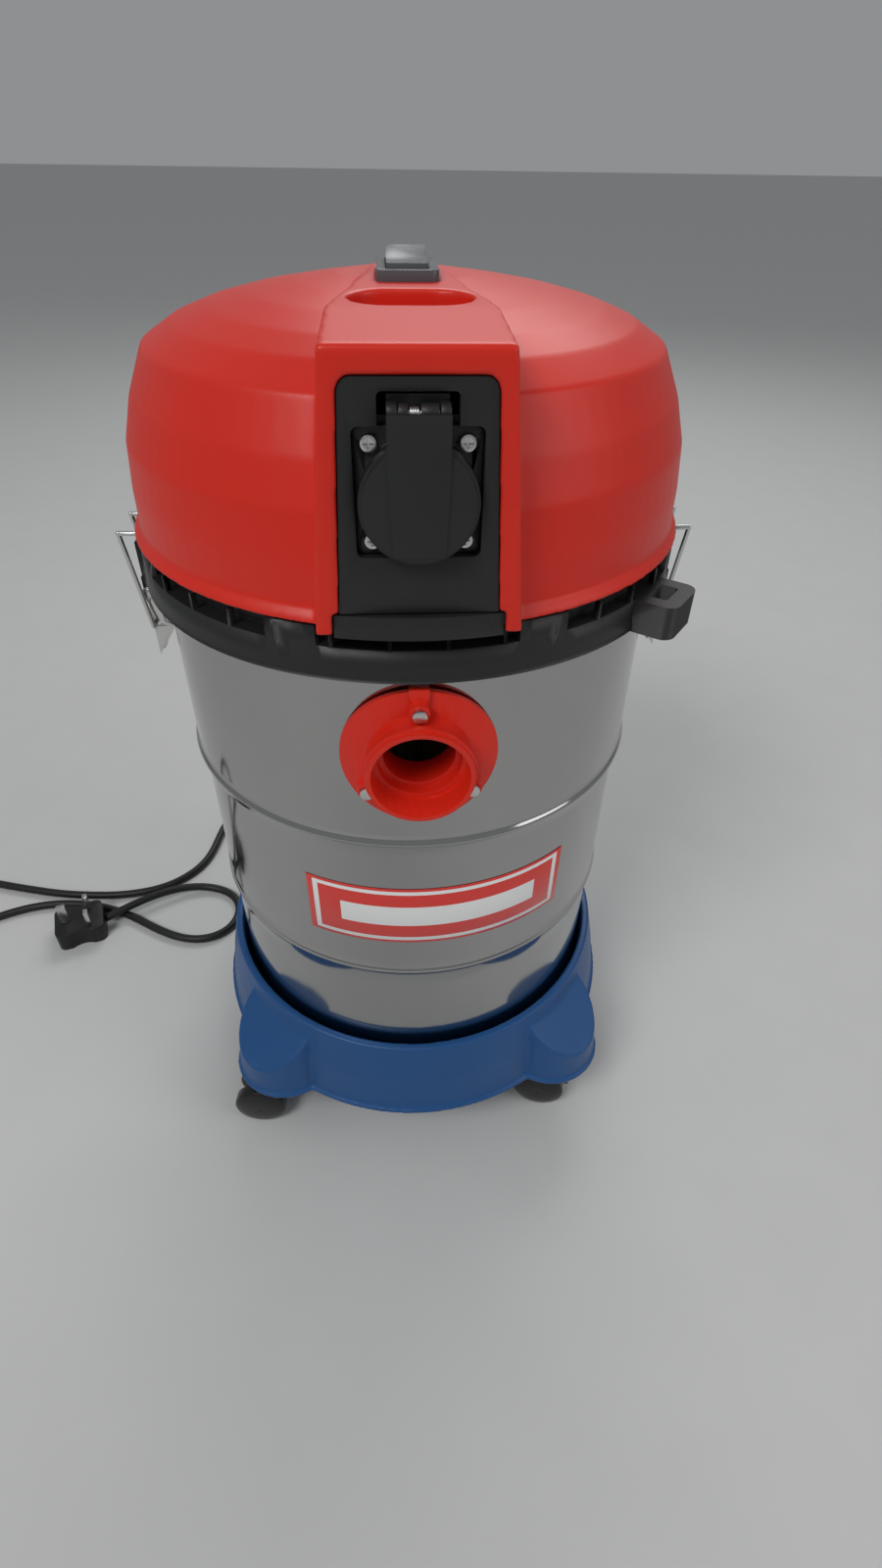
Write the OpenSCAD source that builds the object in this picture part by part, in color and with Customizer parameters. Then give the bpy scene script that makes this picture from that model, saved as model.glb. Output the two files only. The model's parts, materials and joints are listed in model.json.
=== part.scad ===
// Wet and dry drum vacuum: a steel drum in a castored tray, closed by a lift-off
// motor head with a round appliance socket, two side latches and a mains cord.
// Origin: on the floor, on the drum's axis. +Z is up and -Y is the front.

/* [Drum] */
// Outer radius of the steel drum above its upper bead
drum_r = 146.5; // [144:0.5:147]
// Thickness of the steel sheet
sheet_t = 1; // [0.6:0.1:1.5]
// Height of the drum's flat bottom above the floor
drum_z = 72; // [70:1:76]
// Height of the collar's top face, on which the head's seal lies
collar_z = 458; // [450:1:470]
// Height of the hose inlet's axis
inlet_z = 393; // [386:1:396]

/* [Tray] */
// Height of the tray's upper rim
tray_rim_z = 128; // [124:1:132]
// Distance of each caster's swivel axis from the drum's axis
caster_r = 165; // [160:1:168]
// Radius of the twin caster wheels
wheel_r = 20.5; // [18:0.5:21]
// Distance of the wheel axle behind its swivel axis
trail = 14; // [12:1:16]

/* [Head] */
// Height of the crown above the collar's top face
crown_h = 129; // [126:1:134]
// Wall thickness of the moulded head
wall = 3; // [2.4:0.2:3.4]
// Distance of the flat socket frame in front of the drum's axis
front_y = 160; // [159:0.5:161]
// Height of the socket's centre above the collar's top face
socket_h = 71.5; // [70:0.5:73]
// Side of the square socket flange
socket_w = 50; // [48:1:51]

/* [Latches] */
// Distance of the latch lever's pivot from the drum's axis
latch_x = 160; // [159:0.5:161]
// Diameter of the latch's bent wire
wire_d = 2.8; // [2.4:0.2:3]
// Half the width of the latch's wire bail
bail_y = 15.6; // [15:0.1:16]

/* [Motor] */
// Radius of the fan wheel
fan_r = 56; // [50:1:57]
// Radius of the motor shaft
shaft_r = 4; // [3:0.5:5]
// Radius of the float ball that closes the suction port
float_r = 17; // [15:1:18]

/* [Cord] */
// Diameter of the mains cord
cord_d = 8; // [7:0.5:9]
// Radius of the cord's coil, at the middle of its turns
coil_r = 48; // [44:1:50]

/* [Hidden] */

fine = 128;
red = [0.9, 0.16, 0.1];
blue = [0.1, 0.25, 0.55];
black = [0.1, 0.1, 0.11];
grey = [0.5, 0.5, 0.5];
steel = [0.75, 0.75, 0.76];

// Azimuths of the four casters and the way each one trails from its swivel axis
caster_az = [-45, 45, 135, -135];
caster_turn = [-50, -150, 125, 35];

// Azimuth of the accessory lug on the collar
lug_az = 52.5;
// Azimuths of the screws that hold the dome on its deck
head_screw_az = [60, 120, 240, 300];

head_z = collar_z + 4;
crown_z = collar_z + crown_h;
socket_z = collar_z + socket_h;
lip_z = collar_z + 11;
stator_z = head_z + 24;
switch_y = -17;
hinge_y = front_y + 0.5;
hinge_z = socket_z + 30.5;
lever_pivot_z = collar_z - 37;
bail_pivot_z = collar_z - 58;
bail_pivot_x = latch_x + 1;
bail_top_z = collar_z + 1.6;
pin_r = 2;
axle_r = 2;
cage_z = head_z - 85;

// ---------- shared shapes ----------

// A plain ring between two heights
module ring(r_in, r_out, z0, z1) {
    difference() {
        translate([0, 0, z0]) cylinder(r = r_out, h = z1 - z0, $fn = fine);
        translate([0, 0, z0 - 1]) cylinder(r = r_in, h = z1 - z0 + 2, $fn = fine);
    }
}

// A box given by its two opposite corners
module block(low, high) {
    translate(low) cube(high - low);
}

// Children drawn at the front, turned to an azimuth around the drum's axis
module at_az(a) {
    rotate([0, 0, a]) children();
}

// A round bar along Y from y0 back to y1
module bar_y(x, z, r, y0, y1) {
    translate([x, y1, z]) rotate([90, 0, 0]) cylinder(r = r, h = y1 - y0, $fn = 48);
}

// A round bar along X
module bar_x(y, z, r, x0, x1) {
    translate([x0, y, z]) rotate([0, 90, 0]) cylinder(r = r, h = x1 - x0, $fn = 48);
}

// A round bar between two points, with a ball at its far end
module rod(p, q, r) {
    d = q - p;
    len = norm(d);
    translate(p) rotate([0, acos(d[2] / len), atan2(d[1], d[0])]) cylinder(r = r, h = len, $fn = 24);
    translate(q) sphere(r = r + 0.06, $fn = 24);
}

// A rectangle with round corners, centred
module round_rect(w, h, r) {
    square([w - 2 * r, h], center = true);
    square([w, h - 2 * r], center = true);
    for (x = [-1, 1], y = [-1, 1]) translate([x * (w / 2 - r), y * (h / 2 - r)]) circle(r = r, $fn = 32);
}

// A face drawn in X and Z, given thickness from y0 back to y1
module upright(y0, y1) {
    translate([0, y1, 0]) rotate([90, 0, 0]) linear_extrude(y1 - y0) children();
}

// A tube swept along a route of points, as one closed surface
module swept_tube(route, r, sides = 8) {
    n = len(route);
    tangent = [for (i = [0:n - 1])
        let (d = route[min(i + 1, n - 1)] - route[max(i - 1, 0)]) d / norm(d)];
    rings = [for (i = [0:n - 1])
        let (t = tangent[i],
             side = cross(t, abs(t[2]) > 0.95 ? [0, 1, 0] : [0, 0, 1]),
             u = side / norm(side),
             v = cross(u, t))
        [for (k = [0:sides - 1]) route[i] + r * (cos(360 * (k + 0.5) / sides) * u
            + sin(360 * (k + 0.5) / sides) * v)]];
    points = [for (one = rings) for (p = one) p];
    faces = concat(
        [[for (k = [0:sides - 1]) k]],
        [for (i = [0:n - 2]) for (k = [0:sides - 1])
            let (a = i * sides + k, b = i * sides + (k + 1) % sides) [a, a + sides, b + sides, b]],
        [[for (k = [sides - 1:-1:0]) (n - 1) * sides + k]]);
    polyhedron(points, faces, convexity = 10);
}

// Points of a smooth curve through a list of points
function smooth_route(p, steps) = concat(
    [for (i = [0:len(p) - 2]) for (s = [0:steps - 1])
        let (a = p[max(i - 1, 0)], b = p[i], c = p[i + 1], d = p[min(i + 2, len(p) - 1)], t = s / steps)
        0.5 * (2 * b + (c - a) * t + (2 * a - 5 * b + 4 * c - d) * t * t
            + (3 * b - a - 3 * c + d) * t * t * t)],
    [p[len(p) - 1]]);

// ---------- tray and casters ----------

// Solid of one caster pod; inset makes the hollow inside it
module pod(inset) {
    intersection() {
        translate([0, -150, 56]) cylinder(r1 = 38.8 - inset, r2 = 33.5 - inset, h = 64, $fn = 96);
        translate([-60, 0, 0]) rotate([90, 0, 90]) linear_extrude(120)
            polygon([[-200, 60 - inset], [-130, 60 - inset], [-130, 121 - 1.4 * inset],
                [-150, 118 - 1.4 * inset], [-184, 88 - 1.4 * inset], [-200, 88 - 1.4 * inset]]);
    }
}

// Castored tray: a skirt with four pods round a dished floor, hollow underneath
module base_tray() {
    color(blue) {
        difference() {
            union() {
                rotate_extrude($fn = fine) polygon([[0, 60], [164.5, 60], [164.5, 64], [162, 64],
                    [158, 95], [153, tray_rim_z - 7], [151.5, tray_rim_z], [0, tray_rim_z]]);
                for (a = caster_az) at_az(a) {
                    pod(0);
                    translate([0, -150, 60]) cylinder(r = 40.5, h = 3.8, $fn = 96);
                    translate([0, -caster_r, 56]) cylinder(r = 9, h = 8, $fn = 48);
                }
            }
            rotate_extrude($fn = fine) polygon([[0, drum_z], [144.4, drum_z], [146, tray_rim_z],
                [146, tray_rim_z + 1], [0, tray_rim_z + 1]]);
            translate([0, 0, 58]) cylinder(r = 148, h = drum_z - 62, $fn = fine);
            translate([0, 0, 57]) cylinder(r = 60, h = 30, $fn = fine);
            difference() {
                union() {
                    rotate_extrude($fn = fine)
                        polygon([[151, 59], [151, 112], [155, 95], [159, 64], [159, 59]]);
                    for (a = caster_az) at_az(a) difference() {
                        pod(wall);
                        translate([0, 0, 50]) cylinder(r = 152, h = 100, $fn = fine);
                    }
                }
                for (a = caster_az) at_az(a)
                    translate([0, -caster_r, 52]) cylinder(r = 9, h = 60, $fn = 48);
            }
            for (a = caster_az) at_az(a)
                translate([0, -caster_r, 51]) cylinder(r = 5.55, h = 31, $fn = 48);
        }
    }
}

// Screws up through the tray's floor into the drum's base
module tray_screws() {
    color(steel) for (a = caster_az) at_az(a) {
        translate([0, -100, drum_z - 6.5]) cylinder(r = 4, h = 2.5, $fn = 32);
    }
}

// A caster's swivelling frame, drawn with its trail toward the front
module caster_yoke(i) {
    color(black) at_az(caster_az[i]) translate([0, -caster_r, 0]) at_az(caster_turn[i]) difference() {
        union() {
            translate([0, 0, 40]) cylinder(r = 5.45, h = 40, $fn = 48);
            translate([0, 0, 44]) cylinder(r = 10, h = 5, $fn = 48);
            block([-5, -trail - 8, wheel_r - 8], [5, 5, wheel_r + 9]);
            block([-5, -trail + 2, wheel_r + 5], [5, 6, 45]);
            intersection() {
                bar_x(-trail, wheel_r, wheel_r + 4, -5, 5);
                block([-5, -trail - 1, wheel_r], [5, 10, 48]);
            }
        }
        bar_x(-trail, wheel_r, axle_r, -6, 6);
    }
}

module caster_axle(i) {
    color(steel) at_az(caster_az[i]) translate([0, -caster_r, 0]) at_az(caster_turn[i])
        bar_x(-trail, wheel_r, axle_r, -15, 15);
}

// The two wheels on one axle, open outside with a hub and a crowned cap
module caster_wheels(i) {
    color(black) at_az(caster_az[i]) translate([0, -caster_r, 0]) at_az(caster_turn[i])
        for (s = [-1, 1]) translate([s * 5.4, -trail, wheel_r]) rotate([0, s * 90, 0]) difference() {
            rotate_extrude($fn = 64) polygon([[axle_r + 0.05, 0], [wheel_r - 1.5, 0], [wheel_r, 1.5],
                [wheel_r, 9], [wheel_r - 1.5, 10.5], [14, 12.2], [8, 13], [0, 13.2], [0, 11],
                [axle_r + 0.05, 11]]);
        }
}

// ---------- drum ----------

// Outside of the drum from its bottom centre up to its rim, each step a rolled bead
drum_outside = [
    [0, drum_z], [drum_r - 12.5, drum_z], [drum_r - 7, drum_z + 2.2], [drum_r - 4.5, drum_z + 8],
    [drum_r - 4.5, 205], [drum_r - 2, 209], [drum_r - 2.5, 213], [drum_r - 2.5, 323],
    [drum_r + 0.8, 328], [drum_r, 332], [drum_r, collar_z - 4]];

function inside(outline, t) = [for (i = [len(outline) - 1:-1:0])
    let (p = outline[i]) [max(p[0] - t, 0), p[0] < drum_r - 6 ? p[1] + t : p[1]]];

// Places of the three inlet screws: azimuth around the inlet axis and boss length
inlet_bosses = [[90, 13], [212, 9], [328, 9]];
boss_r = 32.5;

module at_inlet_screws() {
    for (b = inlet_bosses) translate([boss_r * cos(b[0]), 0, inlet_z + boss_r * sin(b[0])])
        children();
}

module tank_drum() {
    color(steel) difference() {
        rotate_extrude($fn = fine) polygon(concat(drum_outside, inside(drum_outside, sheet_t)));
        bar_y(0, inlet_z, 26, -160, -100);
        at_inlet_screws() bar_y(0, 0, 2.2, -160, -100);
    }
}

// Moulded ring on the drum's rim, with latch brackets, pads and the accessory lug
module tank_collar() {
    color(black) difference() {
        union() {
            rotate_extrude($fn = fine) polygon([[147.1, 441], [156, 441], [156, 444], [155, 448],
                [155, collar_z], [140, collar_z], [140, 446], [144.8, 446],
                [144.8, collar_z - 4], [147.1, collar_z - 4]]);
            for (i = [0:35]) at_az(i * 10 + 5)
                block([-0.9, -155, collar_z - 0.5], [0.9, -152, lip_z - 2.5]);
            for (i = [0:7]) at_az(i * 45 + 22.5)
                intersection() {
                    ring(152, 155, collar_z - 0.5, lip_z - 1);
                    block([-13, -170, collar_z - 1], [13, -100, lip_z]);
                }
            at_az(lug_az) difference() {
                translate([0, -161, 440]) linear_extrude(18) round_rect(33, 30, 7);
                translate([0, 0, 430]) cylinder(r = 150, h = 40, $fn = fine);
            }
            for (a = [-90, 90]) at_az(a) {
                block([-11.7, -latch_x - 2, 430], [11.7, -149, 453]);
                block([-11.7, -latch_x - 3, lever_pivot_z - 5], [11.7, -latch_x + 4, 431]);
            }
        }
        at_az(lug_az) translate([0, -163, 436]) linear_extrude(26) round_rect(17, 10, 2);
        for (a = [-90, 90]) at_az(a) block([-14, -170, 452.6], [14, -146.8, 470]);
        for (a = [-90, 90]) at_az(a) bar_x(-latch_x, lever_pivot_z, pin_r, -12, 12);
        translate([0, 0, 400]) cylinder(r = 147.1, h = 46, $fn = fine);
    }
}

module tank_seal() {
    color(black) ring(141, 147, collar_z, head_z);
}

// Blank generic label wrapped on the drum between its beads
module tank_label() {
    color([0.85, 0.1, 0.1]) intersection() {
        ring(drum_r - 2.45, drum_r - 2.05, 240, 289);
        at_az(5.5) block([-81.5, -160, 230], [81.5, -110, 300]);
    }
}

// ---------- hose inlet ----------

module inlet_port() {
    color(red) difference() {
        union() {
            intersection() {
                bar_y(0, inlet_z, 41, -170, -120);
                ring(drum_r + 1.6, drum_r + 4.8, inlet_z - 45, inlet_z + 45);
            }
            bar_y(0, inlet_z, 27.3, -168, -147);
            bar_y(0, inlet_z, 25.5, -150, -144);
            bar_y(0, inlet_z, 24, -150, -128);
            intersection() {
                for (b = inlet_bosses)
                    bar_y(boss_r * cos(b[0]), inlet_z + boss_r * sin(b[0]), 5, -146 - b[1], -125);
                difference() {
                    block([-60, -180, 300], [60, -100, 480]);
                    translate([0, 0, 300]) cylinder(r = drum_r + 1.6, h = 200, $fn = fine);
                }
            }
            bar_y(0, inlet_z, 28.6, -165, -162);
            intersection() {
                block([-5, -156, inlet_z + 36], [5, -140, inlet_z + 43]);
                ring(drum_r + 1.6, drum_r + 7, inlet_z + 30, inlet_z + 45);
            }
        }
        bar_y(0, inlet_z, 25, -169, -152);
        bar_y(0, inlet_z, 22, -153, -146);
        bar_y(0, inlet_z, 19, -147, -120);
        at_inlet_screws() bar_y(0, 0, 2.2, -175, -120);
    }
}

module inlet_gasket() {
    color(black) difference() {
        intersection() {
            bar_y(0, inlet_z, 38.5, -170, -120);
            ring(drum_r + 0.05, drum_r + 1.55, inlet_z - 42, inlet_z + 42);
        }
        bar_y(0, inlet_z, 27.5, -170, -100);
        at_inlet_screws() bar_y(0, 0, 2.2, -170, -120);
    }
}

// Screws through the flange with their nuts inside the drum
module inlet_screws() {
    color(steel) for (b = inlet_bosses) {
        x = boss_r * cos(b[0]);
        z = inlet_z + boss_r * sin(b[0]);
        bar_y(x, z, 3.6, -148.4 - b[1], -146 - b[1]);
        bar_y(x, z, 2, -147 - b[1], -134);
        translate([x, -136, z]) rotate([90, 0, 0]) cylinder(r = 4, h = 3.5, $fn = 6);
    }
}

// Cap inside the drum that turns the dirty air down
module inlet_deflector() {
    color(black) difference() {
        bar_y(0, inlet_z, 28, -138, -100);
        bar_y(0, inlet_z, 24.1, -139, -128);
        bar_y(0, inlet_z, 25.5, -128.5, -103);
        block([-30, -127, inlet_z - 40], [30, -99, inlet_z - 6]);
    }
}

// ---------- latches, drawn at the front and turned to a side ----------

module latch_lever() {
    x0 = latch_x + 1.6;
    color(steel) difference() {
        union() {
            upright(-x0, -x0 + 1) polygon([[-13.3, lever_pivot_z - 7], [-13.3, bail_pivot_z - 4],
                [-4, bail_pivot_z - 22], [4, bail_pivot_z - 22], [13.3, bail_pivot_z - 4],
                [13.3, lever_pivot_z - 7]]);
            for (s = [-1, 1]) translate([s * 12.7 - 0.6, 0, 0]) rotate([90, 0, 90]) linear_extrude(1.2) {
                polygon([[-x0, lever_pivot_z - 7], [-x0, bail_pivot_z - 4], [-148.2, bail_pivot_z - 1],
                    [-154, bail_pivot_z + 2], [-latch_x + 4, lever_pivot_z], [-latch_x - 4, lever_pivot_z]]);
                polygon([[-x0, bail_pivot_z - 1], [-x0, bail_pivot_z - 21], [-148.2, bail_pivot_z - 1]]);
                translate([-latch_x, lever_pivot_z]) circle(r = 4, $fn = 32);
            }
        }
        for (s = [-1, 1]) translate([s * 20, -latch_x - 3, bail_pivot_z - 30]) rotate([0, s * 27, 0])
            block([-9, 0, -30], [9, 6, 25]);
        bar_x(-latch_x, lever_pivot_z, pin_r + 0.05, -20, 20);
        bar_x(-bail_pivot_x, bail_pivot_z, wire_d / 2 + 0.05, -20, 20);
    }
}

module latch_pin() {
    color(steel) {
        bar_x(-latch_x, lever_pivot_z, pin_r, -13.4, 13.4);
        for (s = [-1, 1]) translate([s * 13.6, 0, 0]) bar_x(-latch_x, lever_pivot_z, 2.6, -0.25, 0.25);
    }
}

// Bent wire: both feet in the lever's ears, its top bar over the head's hook
module latch_bail() {
    r = wire_d / 2;
    knee = latch_x + 8.5;
    color(steel) {
        for (s = [-1, 1]) {
            bar_x(-bail_pivot_x, bail_pivot_z, r, min(s * 11.9, s * bail_y), max(s * 11.9, s * bail_y));
            translate([s * bail_y, -bail_pivot_x, bail_pivot_z]) sphere(r = r + 0.06, $fn = 24);
            rod([s * bail_y, -bail_pivot_x, bail_pivot_z], [s * bail_y, -knee, bail_top_z], r);
            rod([s * bail_y, -knee, bail_top_z], [s * bail_y, -latch_x + 3.2, bail_top_z], r);
        }
        bar_x(-latch_x + 3.2, bail_top_z, r, -bail_y, bail_y);
    }
}

// ---------- head ----------

// Outside of the dome from crown to lip; t is a depth below that outside
function dome_outline(t) = [
    [0, crown_z - t], [34 - 0.1 * t, crown_z - 0.5 - t], [56 - 0.15 * t, crown_z - 3.5 - t],
    [80 - 0.2 * t, crown_z - 7.5 - t], [101 - 0.3 * t, crown_z - 12.5 - t],
    [118 - 0.4 * t, crown_z - 18.5 - t], [134 - 0.6 * t, crown_z - 28 - 0.9 * t],
    [144 - 0.85 * t, crown_z - 50 - 0.5 * t], [150 - t, crown_z - 70 - 0.3 * t],
    [152 - t, crown_z - 92], [152.4 - t, lip_z + 6]];

// Block that carries the socket frame and runs back over the crown as a low spine
module front_block(t) {
    intersection() {
        upright(-front_y + t, 120) polygon([[-45.5 + t, lip_z], [-36 + t, crown_z - 5 - t],
            [-34 + t, crown_z + 12], [34 - t, crown_z + 12], [36 - t, crown_z - 5 - t], [45.5 - t, lip_z]]);
        translate([-60, 0, 0]) rotate([90, 0, 90]) linear_extrude(120)
            polygon([[-front_y, lip_z], [-front_y, crown_z - 5.5 - t], [-front_y + 1.5, crown_z - 4.5 - t],
                [-103, crown_z - 1 - t], [-30, crown_z + 1 - t], [40, crown_z - t], [90, crown_z - 9 - t],
                [90, lip_z]]);
        linear_extrude(700) polygon([[-60, -170], [-38 + t, -112], [-27.5 + t, -60], [-18.5 + t, -8],
            [-12 + t, 80], [12 - t, 80], [18.5 - t, -8], [27.5 - t, -60], [38 - t, -112], [60, -170]]);
    }
}

// Outline of the socket panel; grow is how far it spreads all round
module panel_outline(grow) {
    z0 = socket_z - 50.5 - grow;
    z1 = socket_z + 42.5 + grow;
    polygon([[-34.5 - grow, z0], [-29.8 - grow, z1 - 5], [-24.8 - grow, z1],
        [24.8 + grow, z1], [29.8 + grow, z1 - 5], [34.5 + grow, z0]]);
    for (s = [-1, 1]) translate([s * (24.6 + grow), z1 - 5]) circle(r = 5, $fn = 32);
}

// Round-ended slot for the fingers on top of the head
module finger_slot(grow, z0, z1) {
    for (x = [-9, 9]) translate([x, -82, z0]) cylinder(r = 18 + grow, h = z1 - z0, $fn = 64);
    block([-9, -100 - grow, z0], [9, -64 + grow, z1]);
}

module head_dome() {
    color(red) difference() {
        union() {
            difference() {
                union() {
                    rotate_extrude($fn = fine) polygon(concat(dome_outline(0),
                        [[154.6, lip_z + 4], [157, lip_z], [0, lip_z]]));
                    front_block(0);
                }
                rotate_extrude($fn = fine) polygon(concat(dome_outline(wall),
                    [[149.4, lip_z - 1], [0, lip_z - 1]]));
                front_block(wall + 0.4);
                block([-41, -front_y + 4, lip_z - 1], [41, -140, lip_z + 14]);
            }
            finger_slot(2.5, crown_z - 27, crown_z - 2);
            for (a = head_screw_az) at_az(a) difference() {
                union() {
                    translate([0, -132, head_z + 4]) cylinder(r = 5, h = 60, $fn = 32);
                    block([-1.5, -150, lip_z + 4], [1.5, -134, head_z + 50]);
                }
                translate([0, -132, head_z + 3]) cylinder(r = 1.9, h = 30, $fn = 32);
            }
            translate([0, 158, socket_z - 14]) rotate([90, 0, 0]) cylinder(r = 16, h = 14, $fn = 64);
        }
        upright(-front_y - 1, -front_y + 8) panel_outline(0.3);
        block([-38, -175, lip_z - 2], [38, -140, socket_z - 50]);
        finger_slot(0, crown_z - 24.5, crown_z + 20);
        translate([0, switch_y, crown_z - 20]) linear_extrude(40) round_rect(24.6, 50.6, 2);
        translate([0, switch_y, crown_z - 1]) linear_extrude(20) round_rect(29.6, 58.6, 4.3);
        translate([0, 170, socket_z - 14]) rotate([90, 0, 0]) cylinder(r = 8.1, h = 40, $fn = 48);
    }
}

// Screws up through the deck's edge into the dome's bosses
module head_screws() {
    color(steel) for (a = head_screw_az) at_az(a) translate([0, -132, 0]) {
        translate([0, 0, head_z - 2]) cylinder(r = 3.6, h = 2, $fn = 32);
        translate([0, 0, head_z - 1]) cylinder(r = 1.8, h = 20, $fn = 32);
    }
}

// Lower housing of the head: sealing plate, motor well and exhaust openings
module fan_deck() {
    color(black) difference() {
        union() {
            ring(72, 149, head_z, head_z + 4);
            ring(70, 73, head_z - 22, head_z + 4);
            ring(14, 73, head_z - 22, head_z - 19);
            ring(14, 20, head_z - 32, head_z - 19);
            ring(145.5, 149, head_z + 3, lip_z + 3);
            for (a = [-90, 90]) at_az(a) {
                block([-9, -151, head_z - 8.5], [9, -147.8, head_z + 2]);
                block([-9, -158.6, head_z - 8.5], [9, -148, head_z - 4]);
            }
        }
        for (a = head_screw_az) at_az(a)
            translate([0, -132, head_z - 5]) cylinder(r = 1.95, h = 20, $fn = 32);
        for (a = [-150:15:150]) at_az(180 + a) block([-2, -124, head_z - 1], [2, -84, head_z + 5]);
        block([-39, -152, lip_z - 3], [39, -140, lip_z + 5]);
    }
}

// ---------- socket ----------

// Panel in the frame, with a square and tower shaped recess and a curved ledge below
module socket_panel() {
    color(black) difference() {
        union() {
            upright(-front_y + 1.5, -front_y + 7) panel_outline(0);
            upright(-front_y + 4.3, -front_y + 8) panel_outline(2);
            upright(-front_y + 6, -front_y + 11) translate([0, socket_z]) round_rect(56, 56, 4);
            upright(-front_y + 3, -front_y + 8)
                polygon([[-33, lip_z + 3], [33, lip_z + 3], [33, socket_z - 45], [-33, socket_z - 45]]);
            intersection() {
                ring(157.4, 162, lip_z - 2, lip_z + 9);
                block([-37.6, -170, 400], [37.6, -120, 600]);
            }
            block([-32, -front_y + 1, lip_z + 1], [32, -front_y + 6, lip_z + 8]);
        }
        upright(-front_y - 5, -front_y + 8) translate([0, socket_z]) round_rect(51, 51, 3);
        upright(-front_y - 5, -front_y + 8) translate([0, socket_z + 28]) round_rect(31, 19, 2);
        bar_y(0, socket_z, 21.2, -front_y, -120);
        for (x = [-19, 19], z = [-19, 19]) bar_y(x, socket_z + z, 1.6, -front_y, -140);
    }
}

// Round appliance socket with a square flange and two hinge ears
module socket_body() {
    color(black) difference() {
        union() {
            upright(-front_y + 5, -front_y + 7.7) translate([0, socket_z]) round_rect(socket_w, socket_w, 3);
            bar_y(0, socket_z, 22, -front_y + 2, -front_y + 6);
            bar_y(0, socket_z, 20.9, -front_y + 5, -front_y + 36);
            block([-12, -front_y + 5, socket_z + 20], [12, -front_y + 7.7, socket_z + 36]);
            for (s = [-1, 1]) translate([s * 10 - 2, 0, 0]) {
                block([0, -hinge_y, hinge_z - 3], [4, -front_y + 6, hinge_z + 3.4]);
                bar_x(-hinge_y, hinge_z, 3.8, 0, 4);
            }
        }
        bar_y(0, socket_z, 19.5, -front_y - 1, -front_y + 19);
        for (x = [-9.5, 9.5]) bar_y(x, socket_z, 2.6, -front_y, -front_y + 37);
        for (x = [-19, 19], z = [-19, 19]) bar_y(x, socket_z + z, 2.1, -front_y, -140);
        bar_x(-hinge_y, hinge_z, 1.5, -20, 20);
        bar_x(-hinge_y, hinge_z, 4.2, -7.8, 7.8);
    }
}

// Two contact sleeves and the bent earth clips in the socket's well
module socket_contacts() {
    color([0.8, 0.65, 0.3]) {
        for (x = [-9.5, 9.5]) difference() {
            bar_y(x, socket_z, 2.55, -front_y + 20, -front_y + 40);
            bar_y(x, socket_z, 2.05, -front_y + 19, -front_y + 38);
        }
        for (s = [-1, 1]) intersection() {
            difference() {
                bar_y(0, socket_z, 19.4, -front_y + 6, -front_y + 19);
                bar_y(0, socket_z, 18.4, -front_y + 5, -front_y + 20);
            }
            block([-3, -200, socket_z + s * 18.5 - 3], [3, -100, socket_z + s * 18.5 + 3]);
        }
    }
}

module socket_screws() {
    color(steel) for (x = [-19, 19], z = [-19, 19]) difference() {
        union() {
            bar_y(x, socket_z + z, 3.15, -front_y + 2.8, -front_y + 5);
            bar_y(x, socket_z + z, 1.55, -front_y + 4, -front_y + 16);
        }
        block([x - 2, -front_y + 2, socket_z + z - 0.4], [x + 2, -front_y + 3.8, socket_z + z + 0.4]);
        block([x - 0.4, -front_y + 2, socket_z + z - 2], [x + 0.4, -front_y + 3.8, socket_z + z + 2]);
    }
}

// Round lid with its arm and the knuckle that turns on the hinge pin
module socket_flap() {
    y0 = -front_y - 6;
    color(black) difference() {
        union() {
            bar_y(0, socket_z - 2, 24, y0 + 1.5, -front_y + 1.2);
            bar_y(0, socket_z - 2, 22.5, y0, -front_y + 1.2);
            upright(y0, -front_y + 1.2) translate([0, socket_z + 10.5]) square([24, 29], center = true);
            block([-7.4, y0 + 1, hinge_z - 8], [7.4, -front_y + 1.2, hinge_z - 0.5]);
            upright(y0 - 1.2, y0 + 1.2) polygon([[-10.5, socket_z - 22], [-12, socket_z + 12],
                [-12, hinge_z + 1], [12, hinge_z + 1], [12, socket_z + 12], [10.5, socket_z - 22]]);
            bar_x(-hinge_y, hinge_z, 3.6, -7.4, 7.4);
        }
        bar_x(-hinge_y, hinge_z, 1.55, -20, 20);
        bar_x(-hinge_y, hinge_z, 4.4, -12.1, -7.4);
        bar_x(-hinge_y, hinge_z, 4.4, 7.4, 12.1);
        bar_x(-hinge_y, hinge_z, 4.2, -4, 1);
        bar_y(0, socket_z - 2, 20, -front_y - 3, -front_y + 3);
    }
}

module flap_pin() {
    color(steel) bar_x(-hinge_y, hinge_z, 1.5, -12, 12);
}

// Closing spring wound on the hinge pin, drawn as its outer form
module flap_spring() {
    color(steel) difference() {
        bar_x(-hinge_y, hinge_z, 3.2, -3.6, 0.6);
        bar_x(-hinge_y, hinge_z, 1.9, -5, 2);
    }
}

// ---------- switch ----------

module switch_bezel() {
    color(grey) difference() {
        union() {
            translate([0, switch_y, crown_z - 1]) linear_extrude(6) round_rect(29, 58, 4);
            translate([0, switch_y, crown_z - 18]) linear_extrude(20) round_rect(24, 50, 2);
        }
        translate([0, switch_y, crown_z - 15]) linear_extrude(30) round_rect(20.4, 46.4, 1.5);
    }
}

// Rocker with its rear end raised; it tips on a pin across the middle
module switch_rocker() {
    color(grey) intersection() {
        translate([0, switch_y, crown_z - 4]) linear_extrude(18) round_rect(19.6, 44.4, 1.5);
        translate([-20, 0, 0]) rotate([90, 0, 90]) linear_extrude(40)
            polygon([[switch_y - 24, crown_z + 3], [switch_y - 24, crown_z + 7], [switch_y, crown_z + 7.6],
                [switch_y + 12, crown_z + 11], [switch_y + 23, crown_z + 11.5], [switch_y + 23, crown_z + 3],
                [switch_y, crown_z - 3]]);
    }
}

// ---------- motor ----------

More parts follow.
